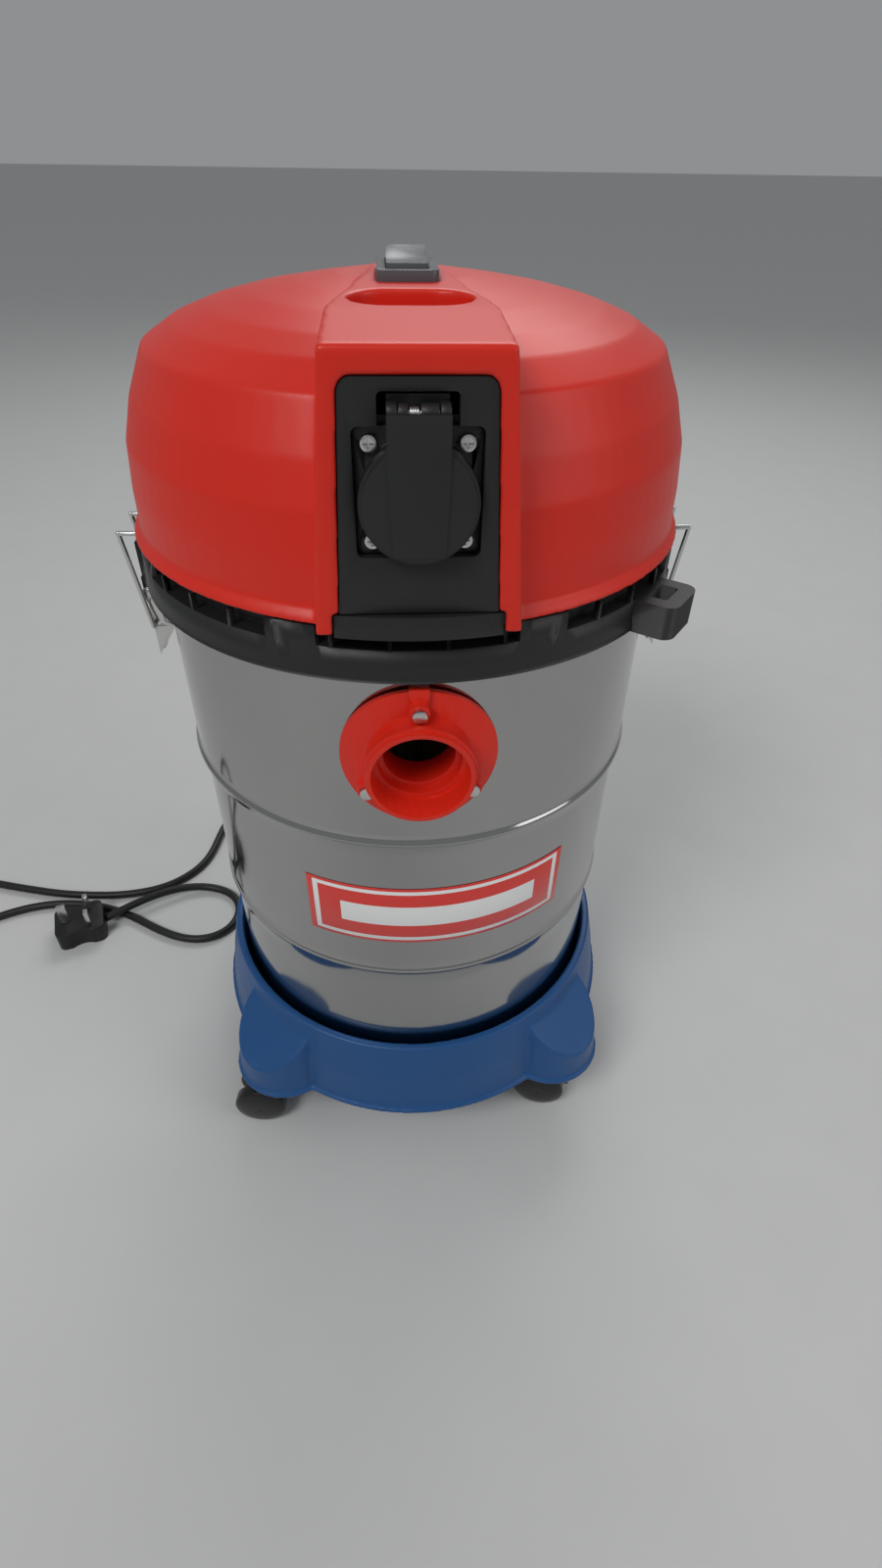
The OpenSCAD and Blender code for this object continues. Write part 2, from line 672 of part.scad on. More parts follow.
module motor_gasket() {
    color(black) ring(24, 62, head_z - 19, head_z - 16);
}

module fan_shroud() {
    color(steel) difference() {
        union() {
            ring(18, 62, head_z - 16, head_z - 14.5);
            ring(60.5, 62, head_z - 16, head_z + 10);
            ring(13, 62, head_z + 8.5, head_z + 10);
        }
        for (i = [0:11]) at_az(i * 30) block([-6, -65, head_z - 6], [6, -58, head_z + 4]);
    }
}

// Fan wheel with curved blades between two discs
module fan_wheel() {
    color(steel) {
        ring(18, fan_r, head_z - 12, head_z - 11);
        ring(shaft_r + 0.02, fan_r, head_z + 3, head_z + 4);
        ring(shaft_r + 0.02, 9, head_z - 8, head_z + 3.2);
        for (i = [0:8]) at_az(i * 40) intersection() {
            translate([18, -34, head_z - 11.2]) difference() {
                cylinder(r = 30, h = 14.4, $fn = 64);
                translate([0, 0, -1]) cylinder(r = 29, h = 17, $fn = 64);
            }
            block([-22, -fan_r + 1, head_z - 12], [10, -20, head_z + 4]);
        }
    }
}

module motor_lower_bracket() {
    color(steel) difference() {
        union() {
            translate([0, 0, head_z + 10]) cylinder(r = 48, h = 3, $fn = 96);
            translate([0, 0, head_z + 12]) cylinder(r = 15, h = 9, $fn = 64);
            for (a = [0:90:270]) at_az(a + 45) block([-6, -50, head_z + 10], [6, -40, stator_z]);
        }
        translate([0, 0, head_z + 13]) cylinder(r = 11, h = 10, $fn = 64);
        translate([0, 0, head_z + 9]) cylinder(r = 8, h = 10, $fn = 64);
        for (i = [0:7]) at_az(i * 45) block([-5, -38, head_z + 9], [5, -20, head_z + 14]);
    }
}

module motor_upper_bracket() {
    color(steel) difference() {
        union() {
            translate([0, 0, crown_z - 35]) cylinder(r = 15, h = 10, $fn = 64);
            block([-8, -46, crown_z - 35], [8, 46, crown_z - 32]);
            for (s = [-1, 1]) block([-8, s * 43 - 3, stator_z + 40], [8, s * 43 + 3, crown_z - 32]);
        }
        translate([0, 0, crown_z - 36]) cylinder(r = 11, h = 9, $fn = 64);
    }
}

module motor_stator() {
    color([0.45, 0.45, 0.47]) difference() {
        translate([0, 0, stator_z]) linear_extrude(40) round_rect(92, 92, 18);
        translate([0, 0, stator_z - 1]) cylinder(r = 24, h = 42, $fn = 96);
        for (s = [-1, 1]) block([s * 34 - 6, -24, stator_z - 1], [s * 34 + 6, 24, stator_z + 41]);
    }
}

module motor_armature() {
    color([0.7, 0.4, 0.2]) {
        translate([0, 0, head_z - 13]) cylinder(r = shaft_r, h = crown_z - head_z - 14.5, $fn = 48);
        translate([0, 0, stator_z + 1]) cylinder(r = 23, h = 38, $fn = 96);
        translate([0, 0, stator_z + 42]) cylinder(r = 13, h = 12, $fn = 64);
    }
}

module motor_bearings() {
    color(steel) {
        ring(shaft_r + 0.05, 10.95, head_z + 13, head_z + 20);
        ring(shaft_r + 0.05, 10.95, crown_z - 35, crown_z - 28);
    }
}

module carbon_brushes() {
    color(black) for (s = [-1, 1])
        block([s * 24 - 10.8, -4, stator_z + 44], [s * 24 + 10.8, 4, stator_z + 52]);
}

// Board that starts the vacuum when a tool in the socket draws current
module control_board() {
    color([0.1, 0.4, 0.2]) {
        block([-30, -116, socket_z - 22], [30, -114.4, socket_z + 20]);
        block([-22, -114.4, socket_z - 16], [-4, -102, socket_z - 2]);
        block([6, -114.4, socket_z - 14], [20, -106, socket_z + 10]);
    }
}

// ---------- filter and float ----------

module filter_cartridge() {
    color([0.85, 0.85, 0.8]) {
        ring(44, 66, head_z - 165, head_z - 29);
        ring(40, 69, head_z - 30, head_z - 22.3);
        ring(20, 69, head_z - 172, head_z - 164);
    }
}

// Wing nut that holds the cartridge on the float cage's stud
module filter_nut() {
    color(black) difference() {
        union() {
            translate([0, 0, head_z - 186]) cylinder(r = 24, h = 13.7, $fn = 64);
            block([-34, -4, head_z - 190], [34, 4, head_z - 174]);
        }
        translate([0, 0, head_z - 180]) cylinder(r = 6, h = 12, $fn = 48);
    }
}

// Slotted cage under the suction port, in which the float ball rises
module float_cage() {
    color(black) {
        difference() {
            ring(19, 23, cage_z, head_z - 22.2);
            for (i = [0:5]) at_az(i * 60) block([-5, -30, cage_z + 6], [5, -10, head_z - 36]);
            translate([0, 0, head_z - 33]) cylinder(r = 20.2, h = 20, $fn = 64);
        }
        difference() {
            translate([0, 0, cage_z - 3]) cylinder(r = 23, h = 3.2, $fn = 64);
            for (i = [0:3]) at_az(i * 90) translate([0, -11, cage_z - 4]) cylinder(r = 4, h = 6, $fn = 32);
        }
        translate([0, 0, head_z - 176]) cylinder(r = 5.6, h = cage_z - head_z + 174, $fn = 48);
    }
}

module float_ball() {
    color([0.9, 0.9, 0.85]) translate([0, 0, cage_z + 0.4 + float_r]) sphere(r = float_r, $fn = 64);
}

// ---------- cord ----------

gland_z = socket_z - 14;
gland_end_y = 186;
coil_c = [-64, 264, 0];
coil_h = 2 * cord_d;
plug_c = [-340, 84, 0];
plug_turn = 18;
plug_len = 46;
plug_w = 40;
plug_t = 20;

// Tapered strain relief in the head's back wall
module cord_gland() {
    color(black) difference() {
        union() {
            rotate_y_out(140, gland_z, 10.5, 3.7);
            rotate_y_out(143, gland_z, 7.9, 17);
            rotate_y_out(158.4, gland_z, 10.5, 2.6);
            translate([0, 160.5, gland_z]) rotate([-90, 0, 0])
                cylinder(r1 = 8, r2 = 5.4, h = gland_end_y - 160.5, $fn = 48);
        }
        rotate_y_out(139, gland_z, cord_d / 2, 60);
    }
}

// A round bar from y0 toward the back
module rotate_y_out(y0, z, r, len) {
    translate([0, y0, z]) rotate([-90, 0, 0]) cylinder(r = r, h = len, $fn = 48);
}

// Route of the cord from the gland down behind the drum to the coil's side
drop_route = [
    [0, 150, gland_z], [0, 170, gland_z], [0, 190, gland_z], [0, 207, gland_z - 5],
    [0.5, 219, gland_z - 17], [1, 224, gland_z - 34], [1, 224, gland_z - 60], [3, 224, 340],
    [6, 224, 210], [9, 224, 80], [10.3, 224, 38], [10.3, 229, 21], [10.3, 241, 9], [10.3, 258, 4],
    [10.3, 268, 4]];

// Route of the cord on the floor from the coil to the plug
run_route = [
    [-64, 337.6, 12], [-88, 337, 9], [-112, 334, 5], [-134, 328, 4], [-157, 318, 4], [-176, 304, 4],
    [-193, 286, 4], [-207, 266, 4], [-216, 243, 4], [-221, 219, 4], [-224, 195, 4], [-231, 172, 4],
    [-246, 153, 4], [-266, 139, 4], [-289, 132, 4], [-314, 129, 4], [-338, 130, 4], [-362, 132, 4],
    [-386, 136, 4], [-410, 142, 4], [-434, 148, 4], [-457, 155, 4], [-481, 160, 4], [-505, 158, 4],
    [-525, 144, 4], [-532, 121, 4], [-524, 98, 4], [-504, 84, 4], [-480, 83, 4], [-457, 91, 4],
    [-436, 103, 4], [-414, 113, 4], [-390, 119, 4], [-366, 120, 4], [-342, 117, 4], [-318, 110, 4],
    [-296, 100, 4], [-276, 87, 4], [-255, 74, 4], [-232, 64, 4], [-208, 63, 4], [-188, 75, 4],
    [-180, 98, 4], [-188, 121, 4], [-208, 134, 4], [-232, 136, 7], [-255, 128, 11],
    [-276, 117, 13], [-297, 104, 12.5], [-318.1, 91.1, 10]];

module cord_drop() {
    color(black) swept_tube(smooth_route(drop_route, 2), cord_d / 2);
}

module cord_run() {
    color(black) swept_tube(smooth_route(run_route, 1), cord_d / 2);
}

// Outer form of the cord's turns
module cord_coil() {
    color(black) translate(coil_c) ring(coil_r - 2.75 * cord_d, coil_r + 2.75 * cord_d, 0, coil_h);
}

module at_plug() {
    translate(plug_c) rotate([0, 0, plug_turn]) children();
}

// Moulded plug lying on its back, its cord entering the end toward +X
module plug_body() {
    color(black) at_plug() {
        difference() {
            linear_extrude(plug_t) round_rect(plug_len, plug_w, 7);
            for (s = [-1, 1]) translate([0, s * (plug_w / 2 + 16), -1]) cylinder(r = 19, h = 30, $fn = 64);
        }
        translate([plug_len / 2 - 8, 0, 10]) rotate([0, 90, 0]) cylinder(r = 7, h = 8, $fn = 48);
    }
}

// Three flat pins standing up out of the plug's face
module plug_pins() {
    color(steel) at_plug() {
        for (s = [-1, 1]) block([8, s * 11 - 3.2, plug_t], [12, s * 11 + 3.2, plug_t + 18]);
        block([-16, -2, plug_t], [-8, 2, plug_t + 22.5]);
    }
}

// ---------- what is drawn ----------

base_tray();
tray_screws();
tank_drum();
tank_collar();
tank_seal();
tank_label();
inlet_port();
inlet_gasket();
inlet_screws();
inlet_deflector();
for (i = [1:4]) {
    caster_yoke(i - 1);
    caster_axle(i - 1);
    caster_wheels(i - 1);
}
for (side = [["left", -90], ["right", 90]]) {
    at_az(side[1]) latch_lever();
    at_az(side[1]) latch_pin();
    at_az(side[1]) latch_bail();
}
head_dome();
head_screws();
fan_deck();
socket_panel();
socket_body();
socket_contacts();
socket_screws();
socket_flap();
flap_pin();
flap_spring();
switch_bezel();
switch_rocker();
motor_gasket();
fan_shroud();
fan_wheel();
motor_lower_bracket();
motor_upper_bracket();
motor_stator();
motor_armature();
motor_bearings();
carbon_brushes();
control_board();
filter_cartridge();
filter_nut();
float_cage();
float_ball();
cord_gland();
cord_drop();
cord_coil();
cord_run();
plug_body();
plug_pins();
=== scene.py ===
"""A drum shop vacuum with a castored tray, shown with its cord lying beside it."""
import json
import math

import bpy
from mathutils import Matrix, Vector


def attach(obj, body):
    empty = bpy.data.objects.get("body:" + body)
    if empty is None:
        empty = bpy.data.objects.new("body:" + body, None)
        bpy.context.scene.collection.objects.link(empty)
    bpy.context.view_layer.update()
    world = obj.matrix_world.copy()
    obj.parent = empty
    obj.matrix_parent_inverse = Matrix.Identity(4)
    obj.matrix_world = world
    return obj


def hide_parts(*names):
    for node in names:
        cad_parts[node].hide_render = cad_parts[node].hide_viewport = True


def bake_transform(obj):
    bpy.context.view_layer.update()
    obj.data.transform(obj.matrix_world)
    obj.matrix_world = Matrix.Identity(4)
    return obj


# Main sizes in millimetres; the frame is in metres.
MM = 0.001
DRUM_R = 146.5
INLET_Z = 393
GLAND_Z = 515.5
FLAP_PIN_Y = -160.5
FLAP_PIN_Z = 560
FILTER_BASE = 290
FILTER_TOP = 439.5
LABEL_Z = 264.5
LABEL_HALF = (80.2, 24.5)
LABEL_TURN = 5.5
LABEL_LINE = (2.2, 5.2)
LABEL_BAND = (62, 8.5)
CORD_R = 4

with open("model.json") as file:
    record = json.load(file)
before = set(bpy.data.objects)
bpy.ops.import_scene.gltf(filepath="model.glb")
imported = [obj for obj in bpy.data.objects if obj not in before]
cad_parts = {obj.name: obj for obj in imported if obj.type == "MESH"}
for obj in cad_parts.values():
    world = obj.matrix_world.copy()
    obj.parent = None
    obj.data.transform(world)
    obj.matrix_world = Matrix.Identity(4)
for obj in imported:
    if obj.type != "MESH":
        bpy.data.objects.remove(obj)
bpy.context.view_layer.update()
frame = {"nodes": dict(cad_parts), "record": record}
nodes = frame["nodes"]


# ---------- camera ----------

CAMERA_PLACE = (-12.2, -467.5, 636.6)
CAMERA_YAW = 4.23
CAMERA_PITCH = 39.36
CAMERA_ROLL = -0.97


def add_camera():
    """The photograph's camera: a wide lens close in front of the head, looking down."""
    yaw, pitch, roll = (math.radians(a) for a in (CAMERA_YAW, CAMERA_PITCH, CAMERA_ROLL))
    level = Vector((math.sin(yaw), math.cos(yaw), 0))
    forward = math.cos(pitch) * level - math.sin(pitch) * Vector((0, 0, 1))
    right = Vector((math.cos(yaw), -math.sin(yaw), 0))
    down = forward.cross(right)
    across = math.cos(roll) * right + math.sin(roll) * down
    up = math.sin(roll) * right - math.cos(roll) * down
    turn = Matrix((across, up, -forward)).transposed().to_4x4()
    data = bpy.data.cameras.new("camera")
    data.sensor_fit = "VERTICAL"
    data.sensor_height = 24
    data.lens = 11.955
    data.clip_start = 0.02
    camera = bpy.data.objects.new("camera", data)
    camera.matrix_world = Matrix.Translation(Vector(CAMERA_PLACE) * MM) @ turn
    bpy.context.scene.collection.objects.link(camera)
    bpy.context.scene.camera = camera


add_camera()


# ---------- materials ----------

def set_value(shader, name, value):
    shader.inputs[name].default_value = value


def wander(tree, place, scale, detail):
    """Noise over the object's own coordinates."""
    noise = tree.nodes.new("ShaderNodeTexNoise")
    noise.inputs["Scale"].default_value = scale
    noise.inputs["Detail"].default_value = detail
    tree.links.new(place.outputs["Object"], noise.inputs["Vector"])
    return noise


def material(name, colour, rough, metal=0.0, grain=900.0, depth=0.1, wear=0.05, coat=0.0):
    """A shader whose colour and roughness wander a little, with a fine grain in its surface."""
    mat = bpy.data.materials.new(name)
    mat.use_nodes = True
    tree = mat.node_tree
    shader = tree.nodes["Principled BSDF"]
    shade = (*colour, 1)
    set_value(shader, "Base Color", shade)
    set_value(shader, "Roughness", rough)
    set_value(shader, "Metallic", metal)
    set_value(shader, "Specular IOR Level", 0.4)
    set_value(shader, "Coat Weight", coat)
    set_value(shader, "Coat Roughness", 0.12)
    place = tree.nodes.new("ShaderNodeTexCoord")
    cloud = wander(tree, place, 14, 5)
    tint = tree.nodes.new("ShaderNodeMix")
    tint.data_type = "RGBA"
    tint.blend_type = "MULTIPLY"
    tint.inputs[6].default_value = shade
    tint.inputs[7].default_value = (1 - 2 * wear, 1 - 2 * wear, 1 - 2 * wear, 1)
    tree.links.new(cloud.outputs["Fac"], tint.inputs[0])
    tree.links.new(tint.outputs[2], shader.inputs["Base Color"])
    span = tree.nodes.new("ShaderNodeMapRange")
    span.inputs["To Min"].default_value = max(rough - wear, 0.02)
    span.inputs["To Max"].default_value = min(rough + wear, 1)
    tree.links.new(cloud.outputs["Fac"], span.inputs["Value"])
    tree.links.new(span.outputs["Result"], shader.inputs["Roughness"])
    fine = wander(tree, place, grain, 3)
    bump = tree.nodes.new("ShaderNodeBump")
    bump.inputs["Strength"].default_value = depth
    bump.inputs["Distance"].default_value = 0.0003
    tree.links.new(fine.outputs["Fac"], bump.inputs["Height"])
    tree.links.new(bump.outputs["Normal"], shader.inputs["Normal"])
    return mat


def floor_material():
    return material("floor_paint", (0.62, 0.62, 0.61), 0.75, grain=60, depth=0.05, wear=0.03)


def label_material():
    """Red film with a white line inside its edge and a blank white band across its middle."""
    mat = material("label_film", (0.75, 0.05, 0.04), 0.3, coat=0.3)
    tree = mat.node_tree
    shader = tree.nodes["Principled BSDF"]
    place = tree.nodes["Texture Coordinate"]
    split = tree.nodes.new("ShaderNodeSeparateXYZ")
    tree.links.new(place.outputs["Object"], split.inputs[0])

    def math_node(kind, a, b):
        node = tree.nodes.new("ShaderNodeMath")
        node.operation = kind
        for socket, value in zip(node.inputs, (a, b)):
            if isinstance(value, (int, float)):
                socket.default_value = value
            else:
                tree.links.new(value, socket)
        return node.outputs[0]

    turn = math.radians(LABEL_TURN)
    turned_x = math_node("MULTIPLY", split.outputs["X"], math.cos(turn))
    turned_y = math_node("MULTIPLY", split.outputs["Y"], math.sin(turn))
    across = math_node("ADD", turned_x, turned_y)
    height = math_node("SUBTRACT", split.outputs["Z"], LABEL_Z * MM)
    from_middle = math_node("ABSOLUTE", across, 0)
    side = math_node("SUBTRACT", LABEL_HALF[0] * MM, from_middle)
    off_middle = math_node("ABSOLUTE", height, 0)
    top = math_node("SUBTRACT", LABEL_HALF[1] * MM, off_middle)
    edge = math_node("MINIMUM", side, top)
    outer = math_node("GREATER_THAN", edge, LABEL_LINE[0] * MM)
    inner = math_node("LESS_THAN", edge, LABEL_LINE[1] * MM)
    line = math_node("MULTIPLY", outer, inner)
    band_length = math_node("LESS_THAN", from_middle, LABEL_BAND[0] * MM)
    band_height = math_node("LESS_THAN", off_middle, LABEL_BAND[1] * MM)
    white = math_node("MAXIMUM", line, math_node("MULTIPLY", band_length, band_height))
    mix = tree.nodes.new("ShaderNodeMix")
    mix.data_type = "RGBA"
    mix.inputs[6].default_value = (0.72, 0.04, 0.03, 1)
    mix.inputs[7].default_value = (0.85, 0.85, 0.84, 1)
    tree.links.new(white, mix.inputs[0])
    tree.links.new(mix.outputs[2], shader.inputs["Base Color"])
    return mat


LOOK_SETTINGS = {
    "dome_plastic": dict(colour=(0.74, 0.022, 0.008), rough=0.40, grain=1500, depth=0.12, wear=0.04),
    "tray_plastic": dict(colour=(0.012, 0.085, 0.26), rough=0.40, grain=1400, depth=0.15, wear=0.06),
    "drum_steel": dict(colour=(0.42, 0.42, 0.415), rough=0.11, metal=1, grain=500, depth=0.02, wear=0.04),
    "black_plastic": dict(colour=(0.018, 0.018, 0.019), rough=0.42, grain=1600, depth=0.25, wear=0.06),
    "caster_plastic": dict(colour=(0.012, 0.012, 0.013), rough=0.25, grain=1200, depth=0.08),
    "grey_plastic": dict(colour=(0.10, 0.105, 0.115), rough=0.25, grain=1200, depth=0.08),
    "red_plastic": dict(colour=(0.76, 0.024, 0.009), rough=0.36, grain=1500, depth=0.1, wear=0.04),
    "zinc_steel": dict(colour=(0.68, 0.68, 0.66), rough=0.24, metal=1, grain=700, depth=0.06, wear=0.08),
    "motor_steel": dict(colour=(0.42, 0.42, 0.43), rough=0.4, metal=1, grain=600, depth=0.1, wear=0.08),
    "brass": dict(colour=(0.75, 0.55, 0.22), rough=0.3, metal=1, grain=700, depth=0.05),
    "copper": dict(colour=(0.60, 0.25, 0.12), rough=0.35, metal=1, grain=700, depth=0.2),
    "seal_rubber": dict(colour=(0.015, 0.015, 0.015), rough=0.7, grain=900, depth=0.2),
    "cord_rubber": dict(colour=(0.012, 0.012, 0.013), rough=0.45, grain=900, depth=0.12),
    "filter_paper": dict(colour=(0.72, 0.69, 0.60), rough=0.9, grain=1100, depth=0.5, wear=0.08),
    "board": dict(colour=(0.02, 0.14, 0.06), rough=0.4, grain=500, depth=0.2),
    "carbon": dict(colour=(0.02, 0.02, 0.02), rough=0.6, grain=800, depth=0.3),
    "float_plastic": dict(colour=(0.75, 0.75, 0.70), rough=0.45, grain=900, depth=0.1),
}
LOOK = {name: material(name, **settings) for name, settings in LOOK_SETTINGS.items()}
LOOK["label_film"] = label_material()


# ---------- making meshes ----------

def shade_smooth(obj):
    obj.data.polygons.foreach_set("use_smooth", [True] * len(obj.data.polygons))


def new_object(name, verts, faces, look, smooth=True):
    mesh = bpy.data.meshes.new(name)
    mesh.from_pydata([Vector(v) * MM for v in verts], [], faces)
    mesh.validate()
    obj = bpy.data.objects.new(name, mesh)
    bpy.context.scene.collection.objects.link(obj)
    mesh.materials.append(LOOK[look])
    if smooth:
        shade_smooth(obj)
    return obj


def tube(name, path, radius, look, sides=12):
    """A round tube along a path, its ends closed."""
    verts = []
    faces = []
    side = Vector((1, 0, 0))
    for i, point in enumerate(path):
        ahead = Vector(path[min(i + 1, len(path) - 1)]) - Vector(path[max(i - 1, 0)])
        ahead.normalize()
        side = (side - ahead * side.dot(ahead)).normalized()
        other = ahead.cross(side)
        for k in range(sides):
            a = 2 * math.pi * k / sides
            verts.append(Vector(point) + radius * (math.cos(a) * side + math.sin(a) * other))
    for i in range(len(path) - 1):
        for k in range(sides):
            n = (k + 1) % sides
            faces.append((i * sides + k, i * sides + n, (i + 1) * sides + n, (i + 1) * sides + k))
    faces.append(tuple(reversed(range(sides))))
    faces.append(tuple((len(path) - 1) * sides + k for k in range(sides)))
    return new_object(name, verts, faces, look)


def round_profile(corners, radius, steps=6):
    """A profile with its inner corners rounded by arcs of about that radius."""
    out = [corners[0]]
    for before, at, after in zip(corners, corners[1:], corners[2:]):
        at_v = Vector(at)
        to_a = Vector(before) - at_v
        to_b = Vector(after) - at_v
        cut = min(radius, 0.45 * to_a.length, 0.45 * to_b.length)
        a = at_v + to_a.normalized() * cut
        b = at_v + to_b.normalized() * cut
        for k in range(steps + 1):
            t = k / steps
            out.append(tuple((1 - t) ** 2 * a + 2 * t * (1 - t) * at_v + t * t * b))
    out.append(corners[-1])
    return out


def smooth_path(points, steps=6):
    """A cubic B-spline near the points that starts and ends on them."""
    p = [Vector(q) for q in points]
    p = [2 * p[0] - p[1]] + p + [2 * p[-1] - p[-2]]
    out = []
    for i in range(len(p) - 3):
        for k in range(steps):
            t = k / steps
            weights = ((1 - t) ** 3, 3 * t ** 3 - 6 * t * t + 4,
                       -3 * t ** 3 + 3 * t * t + 3 * t + 1, t ** 3)
            out.append(sum((w * q for w, q in zip(weights, p[i:i + 4])), Vector((0, 0, 0))) / 6)
    out.append((p[-3] + 4 * p[-2] + p[-1]) / 6)
    return out


# ---------- cord ----------

# The cord's route from the gland down the back, and from the coil over the floor to the plug.
DROP = [
    (0, 150, GLAND_Z), (0, 170, GLAND_Z), (0, 190, GLAND_Z), (0, 207, GLAND_Z - 5),
    (0.5, 219, GLAND_Z - 17), (1, 224, GLAND_Z - 34), (1, 224, GLAND_Z - 60), (3, 224, 340),
    (6, 224, 210), (9, 224, 80), (10.3, 224, 38), (10.3, 229, 21), (10.3, 241, 9), (10.3, 258, 4),
    (10.3, 268, 4)]
RUN = [
    (-64, 337.6, 12), (-88, 337, 9), (-112, 334, 5), (-134, 328, 4), (-157, 318, 4), (-176, 304, 4),
    (-193, 286, 4), (-207, 266, 4), (-216, 243, 4), (-221, 219, 4), (-224, 195, 4), (-231, 172, 4),
    (-246, 153, 4), (-266, 139, 4), (-289, 132, 4), (-314, 129, 4), (-338, 130, 4), (-362, 132, 4),
    (-386, 136, 4), (-410, 142, 4), (-434, 148, 4), (-457, 155, 4), (-481, 160, 4), (-505, 158, 4),
    (-525, 144, 4), (-532, 121, 4), (-524, 98, 4), (-504, 84, 4), (-480, 83, 4), (-457, 91, 4),
    (-436, 103, 4), (-414, 113, 4), (-390, 119, 4), (-366, 120, 4), (-342, 117, 4), (-318, 110, 4),
    (-296, 100, 4), (-276, 87, 4), (-255, 74, 4), (-232, 64, 4), (-208, 63, 4), (-188, 75, 4),
    (-180, 98, 4), (-188, 121, 4), (-208, 134, 4), (-232, 136, 7), (-255, 128, 11),
    (-276, 117, 13), (-297, 104, 12.5), (-318.1, 91.1, 10)]

# The coil is two flat layers around its middle, drawn a point for each step of degrees.
COIL_MIDDLE = (-64, 264)
COIL_IN = 30
COIL_OUT = 66
COIL_STEP = 10
HALF_TURN = 180 // COIL_STEP


def coil_arc(steps, first_angle, first_radius, last_radius, first_z, last_z, dip=0):
    """One stretch of the coil: the radius and height change evenly, and the radius dips midway."""
    points = []
    for k in range(steps):
        t = k / steps
        a = math.radians(first_angle + COIL_STEP * k)
        radius = first_radius + (last_radius - first_radius) * t - dip * math.sin(math.pi * t)
        z = first_z + (last_z - first_z) * t
        points.append((COIL_MIDDLE[0] + radius * math.cos(a), COIL_MIDDLE[1] + radius * math.sin(a), z))
    return points


def coil_path():
    """In from the side, inward on the floor, up, outward on top, and out at the far side."""
    low = CORD_R
    high = 3 * CORD_R
    start = DROP[-1][0] - COIL_MIDDLE[0]
    rows = (COIL_OUT - COIL_IN) / (2 * CORD_R)
    steps = round(rows * 2 * HALF_TURN)
    return (coil_arc(HALF_TURN, 0, start, COIL_OUT, low, low)
            + coil_arc(steps, 180, COIL_OUT, COIL_IN, low, low)
            + coil_arc(HALF_TURN, 0, COIL_IN, COIL_IN, low, high, dip=2)
            + coil_arc(steps, 180, COIL_IN, COIL_OUT, high, high)
            + coil_arc(HALF_TURN // 2, 0, COIL_OUT, COIL_OUT + 7.6, high, high))


def cord_route():
    """From the gland down to the floor, round the coil and out to the plug."""
    return smooth_path(DROP[:-1], 5) + coil_path() + smooth_path(RUN, 5)


def add_cord():
    """The mains cord, one tube from the gland round the coil to the plug."""
    path = cord_route()
    cord = tube("mains_cord", path, CORD_R, "cord_rubber")
    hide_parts("cord_drop", "cord_coil", "cord_run")
    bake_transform(cord)


# ---------- drum ----------

def lathe(name, profile, look, segments=256, skip=None):
    """A profile of (radius, height) turned about Z; skip leaves out faces by their middle."""
    verts = [(r * math.cos(2 * math.pi * k / segments), r * math.sin(2 * math.pi * k / segments), z)
             for k in range(segments) for r, z in profile]
    rows = len(profile)
    faces = []
    for k in range(segments):
        n = (k + 1) % segments
        for j in range(rows - 1):
            face = (k * rows + j, n * rows + j, n * rows + j + 1, k * rows + j + 1)
            middle = sum((Vector(verts[v]) for v in face), Vector()) / 4
            if skip is None or not skip(middle):
                faces.append(face)
    return new_object(name, verts, faces, look)


def bead(z, out, width, before, after):
    """One rolled bead: a rounded ridge between two radii of the wall."""
    steps = 10
    points = []
    for k in range(steps + 1):
        t = k / steps
        base = before + (after - before) * (3 * t * t - 2 * t ** 3)
        points.append((base + out * math.sin(math.pi * t) ** 1.4, z - width / 2 + width * t))
    return points


DRUM_BASE = 72
DRUM_TOP = 453.6
LOWER_BEAD_Z = 209
UPPER_BEAD_Z = 328
BEAD_WIDTH = 8
PORT_HOLE_R = 31


def drum_profile():
    """The wall steps outward at each of its two beads, above a rounded foot."""
    low = DRUM_R - 4.5
    middle = DRUM_R - 2.5
    profile = [(0.01, DRUM_BASE), (60, DRUM_BASE), (100, DRUM_BASE)]
    foot = [(120, DRUM_BASE), (DRUM_R - 11, DRUM_BASE), (low, DRUM_BASE + 7), (low, 100)]
    profile += round_profile(foot, 5)
    profile += [(low, z) for z in range(110, 200, 10)]
    profile += bead(LOWER_BEAD_Z, 2.2, BEAD_WIDTH, low, middle)
    profile += [(middle, z) for z in range(220, 320, 5)]
    profile += bead(UPPER_BEAD_Z, 3.0, BEAD_WIDTH, middle, DRUM_R)
    profile += [(DRUM_R, z) for z in range(336, 452, 3)]
    return profile + [(DRUM_R, DRUM_TOP)]


def in_port(point):
    return point.y < 0 and math.hypot(point.x, point.z - INLET_Z) < PORT_HOLE_R


def add_drum():
    """The sheet-metal drum, open where the hose inlet passes through it."""
    drum = lathe("drum_shell", drum_profile(), "drum_steel", skip=in_port)
    wall = drum.modifiers.new("wall", "SOLIDIFY")
    wall.thickness = 1 * MM
    wall.offset = -1
    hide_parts("tank_drum")
    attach(drum, "tank")


# ---------- small detailed pieces ----------

def filter_cap(name, low, high, hole):
    edge = 68.8
    ring = round_profile([(hole, low), (edge, low), (edge, high), (hole, high), (hole, low)], 2)
    return lathe(name, ring + [ring[0]], "seal_rubber", segments=96)


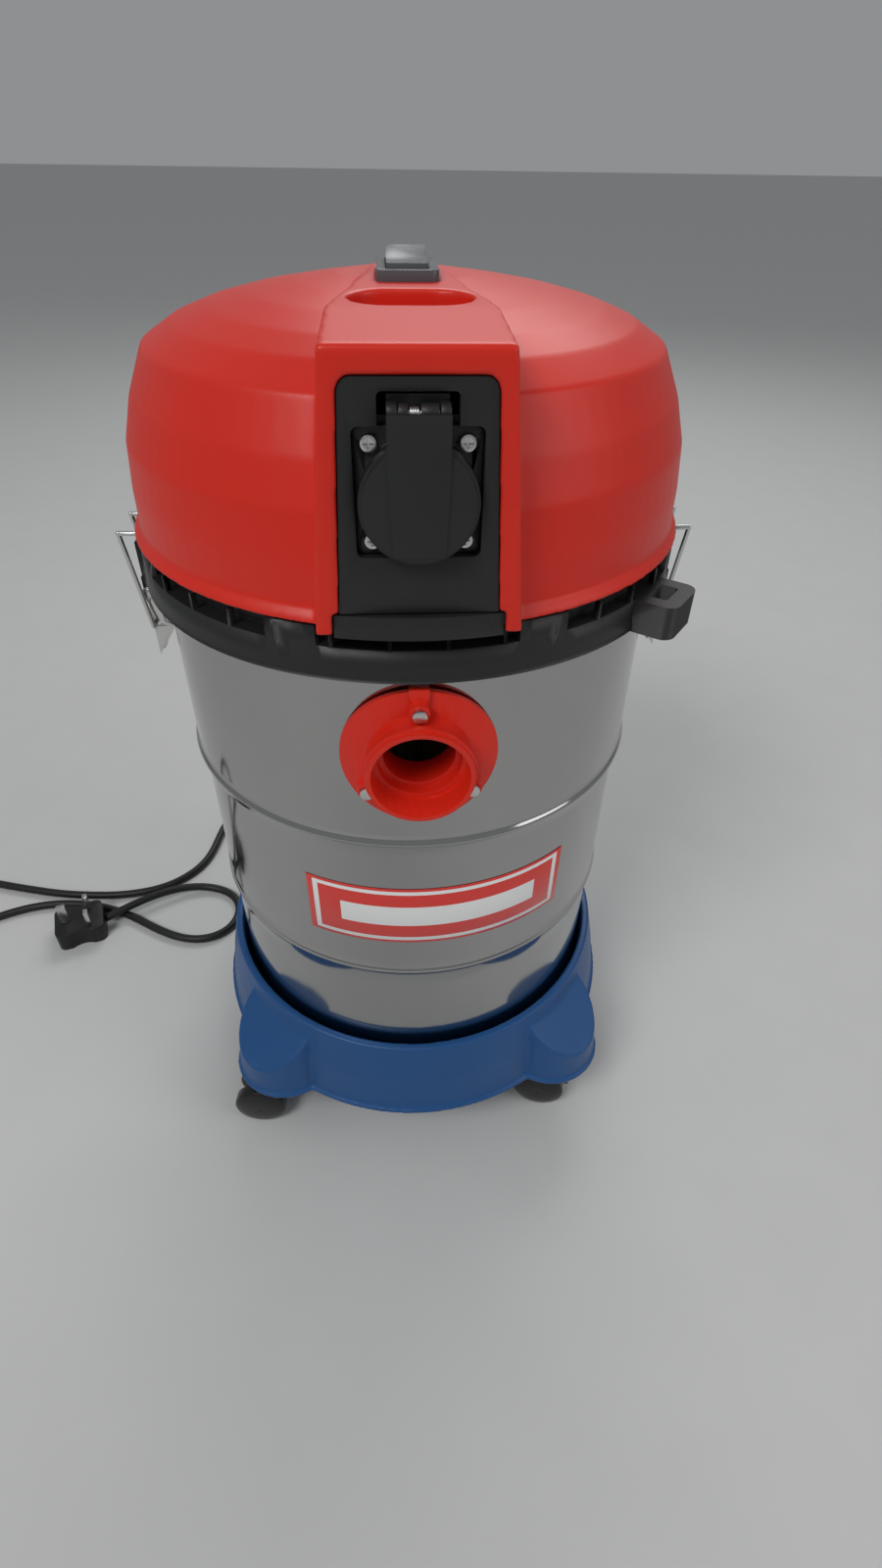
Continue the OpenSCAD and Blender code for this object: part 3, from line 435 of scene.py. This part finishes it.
def add_filter():
    """Pleated paper between two end caps."""
    pleats = 60
    verts = []
    faces = []
    for k in range(2 * pleats):
        a = math.pi * k / pleats
        r = 65 if k % 2 else 50
        for z in (FILTER_BASE + 2, FILTER_TOP - 5.5):
            verts.append((r * math.cos(a), r * math.sin(a), z))
    for k in range(2 * pleats):
        n = (k + 1) % (2 * pleats)
        faces.append((2 * k, 2 * n, 2 * n + 1, 2 * k + 1))
    paper = new_object("filter_pleats", verts, faces, "filter_paper", smooth=False)
    thick = paper.modifiers.new("thick", "SOLIDIFY")
    thick.thickness = 0.6 * MM
    caps = [filter_cap("filter_cap_top", FILTER_TOP - 7, FILTER_TOP, 40),
            filter_cap("filter_cap_base", FILTER_BASE, FILTER_BASE + 7.5, 20)]
    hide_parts("filter_cartridge")
    for piece in [paper] + caps:
        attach(piece, "head")


def add_spring():
    """The flap's closing spring, four turns of wire around the flap's pin."""
    turns = 4
    steps = 16
    radius = 2.6
    first = -3.3
    span = 3.6
    path = []
    for i in range(turns * steps + 1):
        a = 2 * math.pi * i / steps
        x = first + span * i / (turns * steps)
        path.append((x, FLAP_PIN_Y + radius * math.cos(a), FLAP_PIN_Z + radius * math.sin(a)))
    spring = tube("lid_spring", path, 0.4, "zinc_steel", sides=8)
    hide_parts("flap_spring")
    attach(spring, "head")


# ---------- CAD pieces with softened edges ----------

def paint(node, look):
    node.data.materials.clear()
    node.data.materials.append(LOOK[look])


def soften(node, width):
    """Rounds the hard edges of a CAD node by a small radius."""
    shade_smooth(node)
    weld = node.modifiers.new("weld", "WELD")
    weld.merge_threshold = 0.01 * MM
    bevel = node.modifiers.new("edges", "BEVEL")
    bevel.width = width * MM
    bevel.segments = 2
    bevel.limit_method = "ANGLE"
    bevel.angle_limit = math.radians(28)
    bevel.harden_normals = True


def mould(node, cell, rounds):
    """Turns a CAD moulding into one even skin of small cells and rubs its edges round."""
    skin = node.modifiers.new("skin", "REMESH")
    skin.mode = "VOXEL"
    skin.voxel_size = cell * MM
    skin.use_smooth_shade = True
    rub = node.modifiers.new("rub", "SMOOTH")
    rub.factor = 0.5
    rub.iterations = rounds
    node.modifiers.new("normals", "WEIGHTED_NORMAL")


SOFT_EDGE = {"socket_flap": 0.9, "switch_rocker": 1.2, "switch_bezel": 1.0, "plug_body": 2.0,
             "inlet_port": 0.7, "tank_collar": 0.6, "socket_panel": 0.5, "socket_body": 0.4,
             "fan_deck": 0.4, "cord_gland": 0.5, "plug_pins": 0.4, "socket_screws": 0.15}


def dress_nodes():
    """Gives every CAD node its material and its soft edges."""
    slots = {row["node"]: row["material_slot"] for row in frame["record"]["subparts"]}
    for name, node in nodes.items():
        paint(node, slots[name])
        if name == "head_dome":
            mould(node, 1.1, 9)
        elif name == "base_tray":
            mould(node, 1.3, 4)
        elif name.startswith("caster_wheels"):
            soften(node, 0.8)
        elif name == "float_ball":
            shade_smooth(node)
        else:
            soften(node, SOFT_EDGE.get(name, 0.25))


# ---------- floor and light ----------

def add_floor():
    half = 30
    corners = [(-half, -half, 0), (half, -half, 0), (half, half, 0), (-half, half, 0)]
    mesh = bpy.data.meshes.new("floor")
    mesh.from_pydata(corners, [], [(0, 1, 2, 3)])
    floor = bpy.data.objects.new("floor", mesh)
    bpy.context.scene.collection.objects.link(floor)
    mesh.materials.append(floor_material())


def add_light(name, place, target, size, power):
    """A rectangular lamp at a place in metres, turned toward its target."""
    data = bpy.data.lights.new(name, "AREA")
    data.shape = "RECTANGLE"
    data.size = size[0]
    data.size_y = size[1]
    data.energy = power
    light = bpy.data.objects.new(name, data)
    light.location = place
    light.rotation_euler = (Vector(target) - Vector(place)).to_track_quat("-Z", "Y").to_euler()
    bpy.context.scene.collection.objects.link(light)


def add_world():
    """A pale, even sky that fills the shadows."""
    world = bpy.data.worlds.new("studio")
    world.use_nodes = True
    tree = world.node_tree
    sky = tree.nodes["Background"]
    sky.inputs["Strength"].default_value = 0.30
    sky.inputs["Color"].default_value = (0.9, 0.93, 0.96, 1)
    bpy.context.scene.world = world
    bpy.context.scene.view_settings.view_transform = "Standard"


add_cord()
add_drum()
add_filter()
add_spring()
dress_nodes()
add_floor()
add_world()
add_light("key", (-1.2, -1.5, 2.4), (0, 0, 0.35), (1.0, 0.8), 30)
add_light("fill", (1.9, -1.0, 1.6), (0, 0, 0.3), (1.2, 1.6), 10)
add_light("back", (0.5, 2.0, 2.2), (0, 0, 0.4), (1.8, 0.8), 20)
